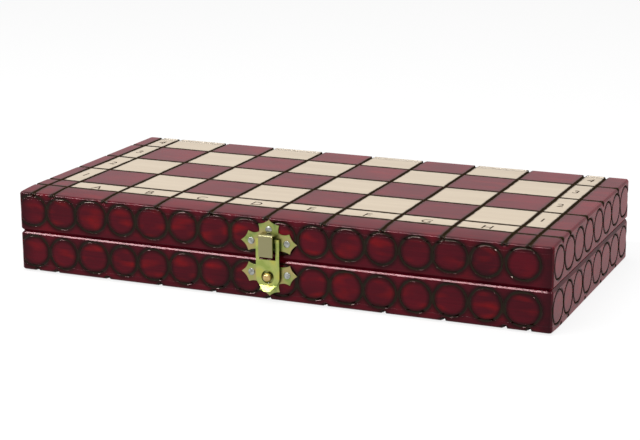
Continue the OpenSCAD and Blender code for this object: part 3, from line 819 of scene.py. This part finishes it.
def board_pieces(half, face_grid):
    xs, ys, light = face_grid[0], face_grid[1], face_grid[-1]
    line_xs, line_ys = lines_of(half)
    points, data, put = point_store(half)
    grid_point = grid_placer(face_grid, put, 1.0)
    faces = []

    nx, ny = len(xs), len(ys)
    for i in range(nx - 1):
        for j in range(ny - 1):
            faces.append([grid_point(*corner, bool(light[i, j])) for corner in cell_corners(i, j)])
    faces += edge_walls(light, grid_point)

    # The band over the edge, side by side round the outline.
    profile = edge_profile()
    band_rows, side_starts = [], {}
    for side_name, side in SIDES.items():
        side_starts[side_name] = len(band_rows)
        lengthwise = side_name in ("front", "back")
        for t, corner_depth, turn in outline_stations(side):
            straight = turn == 0.0
            normal = math.sin(turn) * side["along"] + math.cos(turn) * side["out"]
            edge = side["along"] * t + side["out"] * (side["reach"] - corner_depth)
            line_gap = OFF_LINE
            if straight:
                where, across = (edge[0], line_xs) if lengthwise else (edge[1], line_ys)
                line_gap = max(0.0, float(np.min(np.abs(across - where))) / MM - NOTCH_HALF)
            column = int(np.searchsorted(line_xs, edge[0]))
            bare = side_name == "back" and straight and is_light(half, column, len(line_ys))
            row = []
            for inset, height, tilt in profile:
                place = edge - normal * inset
                fade = 1 - float(smooth(*NOTCH_FADE, height))
                deeper = 1 + (NOTCH_DEPTH / LINE_DEPTH - 1) * (1 - inset / BAND_IN)
                sunk = float(pressed_depth(np.array(line_gap))) * fade * deeper
                x, y = place - normal * math.sin(tilt) * sunk
                fallen = float(roll_off(y)) * (1 - height / BOARD_T)
                stain = float(smooth(*BACK_BARE, height)) if bare else 1.0
                burn = max(0.0, line_gap - BOARD_CHAR - DEEPER_CHAR) + COOLED * (1 - fade)
                upright = tilt >= math.pi / 2 - 1e-6
                row.append(put(x, y, height + fallen + math.cos(tilt) * sunk, stain, burn,
                               -normal if upright else (0, 0), side["row"], along_row(side, edge)))
            band_rows.append(row)
    for a, b in zip(band_rows, band_rows[1:] + band_rows[:1]):
        faces += [(a[j], a[j + 1], b[j + 1], b[j]) for j in range(len(profile) - 1)]

    # Join the band to the grid, and close the underside.
    chains = {
        "front": ([grid_point(i, 0, False) for i in range(nx)], xs),
        "right": ([grid_point(nx - 1, j, False) for j in range(ny)], ys),
        "back": ([grid_point(i, ny - 1, False) for i in reversed(range(nx))], -xs[::-1]),
        "left": ([grid_point(0, j, False) for j in reversed(range(ny))], -ys[::-1]),
    }
    for i in np.flatnonzero(light[:, ny - 2]):
        for k in (i, i + 1):
            data["stain"][grid_point(k, ny - 1, False)] = 0.0
    corners = [put(sx * (CASE_W / 2 - UNDER_IN), sy * (CASE_D / 2 - UNDER_IN), BOARD_T, 0.0, NO_LINE)
               for sx, sy in ((-1, -1), (1, -1), (1, 1), (-1, 1))]
    names = list(SIDES)
    for n, (side_name, side) in enumerate(SIDES.items()):
        stations = outline_stations(side)
        start, corner, next_corner = side_starts[side_name], corners[n], corners[(n + 1) % 4]
        ids, at = chains[side_name]
        inner = [(band_rows[start + k][0], t) for k, (t, d, a) in enumerate(stations) if a == 0.0]
        faces += zip_chains(ids, list(at), [b for b, t in inner], [t for b, t in inner])
        under = [band_rows[start + k][-1] for k in range(len(stations))]
        end = side["half"] - UNDER_IN
        faces += zip_chains(under, [t for t, d, a in stations], [corner, next_corner], [-end, end])
        following = side_starts[names[(n + 1) % 4]]
        faces.append((under[-1], band_rows[following][-1], next_corner))
    faces.append(corners)
    return points, faces, data


def light_fields(half, face_grid):
    """The bare squares and cells: thin tiles whose edges lie at the bottom of the lines."""
    light = face_grid[-1]
    points, data, put = point_store(half)
    grid_point = grid_placer(face_grid, put, 0.0, SIGN_T)
    faces = [[grid_point(*corner, under) for corner in cell_corners(i, j)]
             for i, j in zip(*np.nonzero(light)) for under in (False, True)]
    return points, faces + edge_walls(light, grid_point), data


for half in ("base", "lid"):
    face_grid = board_face(half)
    board = new_piece(f"{half}_board", *board_pieces(half, face_grid), long_grain)
    for row, side_name in ((FRONT, "front"), (RIGHT, "right"), (LEFT, "left")):
        press_rings(board, half, row, SEEDS[half, side_name], long_grain)
    stand_in(board, half, f"{half}_panel")
    fields = new_piece(f"{half}_light_fields", *light_fields(half, face_grid), long_grain)
    stand_in(fields, half, f"{half}_light_squares")

# %% [markdown]
# The files carry the letters A to H on the strip before them, and the ranks carry their
# numbers on both sides. On the real case they are burnt in with a stamp. Here each sign
# is a thin dark layer that lies flush with the board, a hair's breadth above its cell.
# Every sign is set by hand, so it is a little off its place and a little turned.

# %% Letters and digits
CAP_HEIGHT = 6.8 * MM
LETTER_DROP = 1.5 * MM
HAND_SLIP, HAND_TURN = 0.35 * MM, math.radians(2)
burnt_sign, add = new_material("stamped and burnt wood")
burnt = two_tone(add, add("TexNoise", add("TexCoord", output="Object"), 1 / RIPPLE), "#21150D", "#43301F")
add("OutputMaterial", add("BsdfPrincipled", inputs={
    "Base Color": burnt, "Roughness": 0.55, "Specular IOR Level": 0.0, **LACQUER}))


def sign_mesh(sign):
    """A sign as a thin closed mesh, centred at the origin and facing up."""
    curve = bpy.data.curves.new(sign, "FONT")
    curve.body = sign
    curve.size = 1.0
    curve.resolution_u = 4
    holder = new_object(sign, curve)
    flat = evaluated_mesh(holder)
    bpy.data.objects.remove(holder)
    corners = np.array([v.co for v in flat.vertices])
    low, high = corners.min(axis=0), corners.max(axis=0)
    centre = Vector((low + high) / 2)
    shell = bmesh.new()
    shell.from_mesh(flat)
    bmesh.ops.remove_doubles(shell, verts=shell.verts, dist=1e-5)
    scale = CAP_HEIGHT / (high[1] - low[1])
    for v in shell.verts:
        v.co = (v.co - centre) * scale
    sides = bmesh.ops.extrude_face_region(shell, geom=list(shell.faces), use_keep_orig=True)
    for v in (e for e in sides["geom"] if isinstance(e, bmesh.types.BMVert)):
        v.co.z = -SIGN_T
    bmesh.ops.recalc_face_normals(shell, faces=shell.faces)
    return shell


def stamp_signs(half):
    line_xs, line_ys = lines_of(half)
    rank_ends = np.append(line_ys[1:], CASE_D / 2)
    file_middles, rank_middles = (line_xs[:-1] + line_xs[1:]) / 2, (rank_ends[:-1] + rank_ends[1:]) / 2
    digits = "1234" if half == "lid" else "8765"
    letter_y = (line_ys[0] + line_ys[1]) / 2 - LETTER_DROP
    signs = [(letter, x, letter_y) for letter, x in zip("ABCDEFGH", file_middles[1:])]
    signs += [(digit, x, y) for x in file_middles[[0, -1]] for digit, y in zip(digits, rank_middles)]
    hand = np.random.default_rng(5 if half == "lid" else 6)
    facing = Matrix.Identity(4) if half == "lid" else Matrix.Rotation(math.pi, 4, "Y")
    whole = bmesh.new()
    for sign, x, y in signs:
        shell = sign_mesh(sign)
        dx, dy, turn = hand.normal(0, HAND_SLIP), hand.normal(0, HAND_SLIP), hand.normal(0, HAND_TURN)
        seat = Matrix.Translation((x + dx, y + dy, in_half(half, 0.0)))
        shell.transform(seat @ facing @ Matrix.Rotation(turn, 4, "Z"))
        whole.from_mesh(as_mesh("sign", shell))
    mesh = as_mesh(f"{half}_letters", whole)
    mesh.materials.append(burnt_sign)
    piece = new_object(mesh.name, mesh)
    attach(piece, half)
    print(piece.name, "".join(sign for sign, x, y in signs))


for half in ("base", "lid"):
    stamp_signs(half)

# %% [markdown]
# ## The clasp, the hinges and their fixings
# The clasp is stamped from thin steel sheet, zinc plated and passivated. The passivation
# is a very thin film, so its colour drifts between olive, yellow-green and tan. Nail
# heads and pins are bright steel, the ball is turned and gilded, and the hinges are brass.

# %% Metal finishes
# The colour and reach of the painted shade in creases and beside other parts.
PAINTED_SHADE = "#3A3016"
PAINTED_SHADE_REACH = 1.2 * MM
WEAR = 0.35 * MM


def plated_metal(name, low, middle, high, roughness, patch=6 * MM, bent_out=None):
    """Metal whose colour drifts through three tones in patches, with fine wear. Painted shade from an ambient
    occlusion mask darkens it where it comes close to another part. A part that is bent out from the front
    beyond 2 mm may have a tone of its own."""
    material, add = new_material(name)
    place = add("TexCoord", output="Object")
    drift = add("MapRange", add("TexNoise", place, 1 / patch), 0.3, 0.7)
    metal = add("Mix", add("MapRange", drift, 0.1, 0.5), low, middle, **COLOURS)
    metal = add("Mix", add("MapRange", drift, 0.5, 0.9), metal, high, **COLOURS)
    if bent_out:
        depth = add("SeparateXYZ", place, output="Y")
        share = add("MapRange", depth, FRONT_Y - 1.2 * MM, FRONT_Y - 2.2 * MM)
        metal = add("Mix", share, metal, bent_out, **COLOURS)
    # Painted shade: an ambient occlusion mask darkens the metal in creases and where it comes close to other
    # parts.
    near = add("AmbientOcclusion", inputs={"Distance": PAINTED_SHADE_REACH}, output="AO", samples=8)
    painted_shade = add("MapRange", near, 0.1, 0.8, 0.8, 0.0)
    metal = add("Mix", painted_shade, metal, PAINTED_SHADE, blend_type="MULTIPLY", **COLOURS)
    wear = add("TexNoise", place, 1 / WEAR, 3.0)
    bump = add("Bump", inputs={"Strength": 0.2, "Distance": 0.02 * MM, "Height": wear})
    uneven = add("MapRange", wear, 0.3, 0.7, roughness - 0.05, roughness + 0.07)
    add("OutputMaterial", add("BsdfPrincipled", inputs={
        "Base Color": metal, "Metallic": 1.0, "Roughness": uneven, "Normal": bump,
        "Coat Weight": 0.5, "Coat Roughness": 0.2}))
    return material


passivated_plate = plated_metal("passivated zinc, olive to tan", "#708440", "#8F9650", "#A0925C", 0.36,
                                bent_out="#8B8660")
passivated_hasp = plated_metal("passivated zinc, yellow-green", "#8C9A48", "#A0A85A", "#AEAC50", 0.3)
gilded = plated_metal("gilded steel", "#A88C50", "#BCA066", "#CDB684", 0.12)
bright_steel = plated_metal("bright steel", "#7C7E78", "#94968F", "#A9AAA4", 0.25, 2 * MM)
brass = plated_metal("rolled brass", "#A98640", "#BC9A4E", "#C7A65C", 0.3, 9 * MM)

# %% [markdown]
# Sheet parts keep the exact outline that the frame gives them, and get the small
# rounding that tumbling leaves on every stamped edge. The faces are made whole again
# first, so that only true edges are rounded.

# %% Sheet parts with rounded edges
def dress(node, name, body, edge, material):
    shell = bmesh.new()
    shell.from_mesh(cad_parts[node].data)
    bmesh.ops.remove_doubles(shell, verts=shell.verts, dist=0.002 * MM)
    bmesh.ops.dissolve_limit(shell, angle_limit=math.radians(1), verts=shell.verts, edges=shell.edges)
    sharp = [e for e in shell.edges if len(e.link_faces) == 2
             and e.calc_face_angle(0) > math.radians(35) and e.calc_length() > 0.25 * MM]
    bmesh.ops.bevel(shell, geom=sharp, offset=edge, segments=3, profile=0.5, affect="EDGES",
                    clamp_overlap=True)
    bmesh.ops.triangulate(shell, faces=[f for f in shell.faces if len(f.verts) > 4])
    bmesh.ops.recalc_face_normals(shell, faces=shell.faces)
    mesh = as_mesh(name, shell)
    mesh.materials.append(material)
    mesh.shade_smooth()
    mesh.set_sharp_from_angle(angle=math.radians(50))
    piece = new_object(name, mesh)
    piece.modifiers.new("flat faces stay flat", "WEIGHTED_NORMAL").keep_sharp = True
    stand_in(piece, body, node)


PLATE_EDGE = 0.2 * MM
LEAF_EDGE = 0.15 * MM
dress("clasp_keeper", "keeper_plate", "lid", PLATE_EDGE, passivated_plate)
dress("clasp_catch_plate", "catch_plate", "base", PLATE_EDGE, passivated_plate)
dress("clasp_hasp", "snap_hasp", "hasp", PLATE_EDGE, passivated_hasp)
for side in ("left", "right"):
    for body in ("base", "lid"):
        dress(f"hinge_{side}_{body}_leaf", f"{side}_{body}_leaf", body, LEAF_EDGE, brass)

# %% [markdown]
# Turned parts are drawn as a profile, from the axis out and back to the axis, and swept
# round. The ball stud has a neck and a ball. A hinge pin has domed ends.

# %% Turned parts
def turned(profile, place=(0, 0, 0), axis=(0, 0, 1), steps=40):
    """A closed solid of revolution. The profile gives (radius, distance along the axis)."""
    tilt = Vector(axis).to_track_quat("Z", "Y").to_matrix()
    rows = profile[1:-1]
    angles = [2 * math.pi * k / steps for k in range(steps)]
    points = [Vector((r * math.cos(a), r * math.sin(a), along)) for r, along in rows for a in angles]
    points += [Vector((0, 0, end[1])) for end in (profile[0], profile[-1])]
    first, last, end = len(rows) * steps, len(rows) * steps + 1, (len(rows) - 1) * steps
    faces = []
    for k in range(steps):
        n = (k + 1) % steps
        faces += [(first, k, n), (last, end + n, end + k)]
        faces += [(r * steps + k, (r + 1) * steps + k, (r + 1) * steps + n, r * steps + n)
                  for r in range(len(rows) - 1)]
    return [Vector(place) + tilt @ point for point in points], faces


def smooth_solid(name, shape, material):
    piece = new_piece(name, *shape, {}, material)
    piece.data.set_sharp_from_angle(angle=math.radians(40))
    return piece


ball_low, ball_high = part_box("clasp_ball_stud")
BALL_R = (ball_high.x - ball_low.x) / 2
BALL_OUT = FRONT_Y - ball_low.y - BALL_R
NECK_R = 1.2 * MM
BALL_FOOT = -(ball_high.y - FRONT_Y)
neck_turn = math.asin(NECK_R / BALL_R)
sphere = [(BALL_R * math.sin(a), BALL_OUT - BALL_R * math.cos(a))
          for a in np.linspace(neck_turn, math.pi, 28)]
ball_centre = ((ball_low.x + ball_high.x) / 2, FRONT_Y, (ball_low.z + ball_high.z) / 2)
stud = turned([(0, BALL_FOOT), (NECK_R, BALL_FOOT)] + sphere, ball_centre, (0, -1, 0), 48)
stand_in(smooth_solid("ball_stud", stud, gilded), "base", "clasp_ball_stud")

PIN_DOME = 0.35 * MM
for side in ("left", "right"):
    pin_low, pin_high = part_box(f"hinge_{side}_pin")
    pin_r, length = (pin_high.z - pin_low.z) / 2, pin_high.x - pin_low.x
    dome = [(pin_r * math.sin(a), PIN_DOME * (1 - math.cos(a))) for a in np.radians((0, 20, 40, 60, 75, 90))]
    profile = dome + [(r, length - z) for r, z in reversed(dome)]
    start = (pin_low.x, (pin_low.y + pin_high.y) / 2, (pin_low.z + pin_high.z) / 2)
    pin = smooth_solid(f"{side}_hinge_pin", turned(profile, start, (1, 0, 0), 32), bright_steel)
    stand_in(pin, "base", f"hinge_{side}_pin")
print("ball radius", round(BALL_R / MM, 2), "mm, pin radius", round(pin_r / MM, 2), "mm")

# %% [markdown]
# ## Nails and screws, as Geometry Nodes
# Each kind of fixing is drawn once, at the origin and with its head up. The tree sets a
# copy at each named place, tips it to its wall or rim, and gives it its own turn about
# its axis, since nobody drives two screws to the same slot angle.

# %% Fixing tree
def fixing_tree():
    tree, add, given = new_geometry_tree("driven fixings", [
        ("Count", "Int"), *((f"Place {k}", "Vector") for k in (1, 2, 3, 4)), ("Tip", "Vector"),
        ("Turn Range", "Float"), ("Seed", "Int"), ("Material", "Material")])
    index = add("InputIndex")
    places = add("IndexSwitch", index, data_type="VECTOR").node
    while len(places.index_switch_items) < 4:
        places.index_switch_items.new()
    for k in (1, 2, 3, 4):
        tree.links.new(given[f"Place {k}"], places.inputs[k])
    points = add("Points", given["Count"], places.outputs[0])
    turn = add("RandomValue", 0.0, given["Turn Range"], index, given["Seed"])
    own_turn = add("AxisAngleToRotation", (0.0, 0.0, 1.0), turn)
    tipped = add("EulerToRotation", given["Tip"])
    rotation = add("RotateRotation", tipped, own_turn, rotation_space="LOCAL")
    copies = add("InstanceOnPoints", points, inputs={"Instance": given["Geometry"], "Rotation": rotation})
    finish_tree(add, copies, given["Material"])
    return tree


driven_fixings = fixing_tree()

# %% [markdown]
# A nail has a shallow domed head whose rim is turned in under it, and a smooth shank with
# a point. A screw is countersunk, with a sawn slot, and tapers to its point.

# %% Nails and screws
HEAD_R = 2.1 * MM
HEAD_H = 0.8 * MM
SLOT_W = 0.45 * MM
SLOT_D = 0.3 * MM


def nail_shape():
    head = [(HEAD_R * math.sin(t), HEAD_H * (0.16 + 0.84 * math.cos(t)))
            for t in np.linspace(0, math.pi / 2, 12)]
    head += [(HEAD_R - 0.03 * MM, 0.05 * MM), (HEAD_R - 0.1 * MM, 0.0)]
    shank_r, shank_end = 0.7 * MM, -5.9 * MM
    return turned(head + [(shank_r, 0.0), (shank_r, shank_end + 1.2 * MM), (0, shank_end)])


def screw_shape():
    flat, sink, root, end = 1.42 * MM, -0.6 * MM, 0.58 * MM, -8.6 * MM
    return turned([(0, 0.0), (flat * 0.5, 0.0), (flat - 0.06 * MM, 0.0), (flat, -0.05 * MM), (root, sink),
                   (root, end + 2 * MM), (0, end)])


def cut_slot(piece):
    """Saw a slot across the head with a thin block."""
    points = [(x * 3 * MM, y * SLOT_W / 2, SLOT_D * z) for x in (-1, 1) for y in (-1, 1) for z in (-1, 2)]
    faces = [(0, 1, 3, 2), (4, 6, 7, 5), (0, 4, 5, 1), (2, 3, 7, 6), (0, 2, 6, 4), (1, 5, 7, 3)]
    block = new_piece("slot_block", points, faces, {}, brass)
    cut = piece.modifiers.new("slot", "BOOLEAN")
    cut.operation, cut.solver, cut.object = "DIFFERENCE", "EXACT", block
    piece.data = evaluated_mesh(piece)
    piece.modifiers.remove(cut)
    bpy.data.objects.remove(block)
    piece.data.set_sharp_from_angle(angle=math.radians(35))


def drive(piece, node, body, places, tip, turn_range, seed, material):
    """Set copies of one fixing at these places."""
    values = {f"Place {k + 1}": place for k, place in enumerate(places)}
    bake_tree(piece, driven_fixings, {"Count": len(places), **values, "Tip": tip, "Turn Range": turn_range,
                                      "Seed": seed, "Material": material})
    stand_in(piece, body, node)


NAIL_X = 11.4 * MM
PLATE_FRONT = FRONT_Y - 0.8 * MM
QUARTER = math.pi / 2
SIDE_NAIL_Z = {"lid": 35.95 * MM, "base": 17.05 * MM}
END_NAIL_Z = {"lid": 43.5 * MM, "base": 9.5 * MM}
for half, node in (("lid", "clasp_keeper_nails"), ("base", "clasp_catch_nails")):
    places = [(x, PLATE_FRONT, SIDE_NAIL_Z[half]) for x in (-NAIL_X, NAIL_X)]
    places.append((0.0, PLATE_FRONT, END_NAIL_Z[half]))
    drive(smooth_solid(f"{half}_clasp_nails", nail_shape(), bright_steel), node, half, places,
          (QUARTER, 0.0, 0.0), 2 * math.pi, 3, bright_steel)

HINGE_X = 110 * MM
SCREW_OUT = 8 * MM
SCREW_SUNK = 0.03 * MM
screws_low, screws_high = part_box("hinge_base_screws")
SCREW_Y = (screws_low.y + screws_high.y) / 2
SCREW_XS = [side * HINGE_X + along * SCREW_OUT for side in (-1, 1) for along in (-1, 1)]
for half, tilt, seed in (("base", 0.0, 5), ("lid", math.pi, 8)):
    screws = smooth_solid(f"{half}_hinge_screws", screw_shape(), brass)
    cut_slot(screws)
    places = [(x, SCREW_Y, in_half(half, HALF_H - SCREW_SUNK)) for x in SCREW_XS]
    drive(screws, f"hinge_{half}_screws", half, places, (tilt, 0.0, 0.0), math.pi, seed, brass)
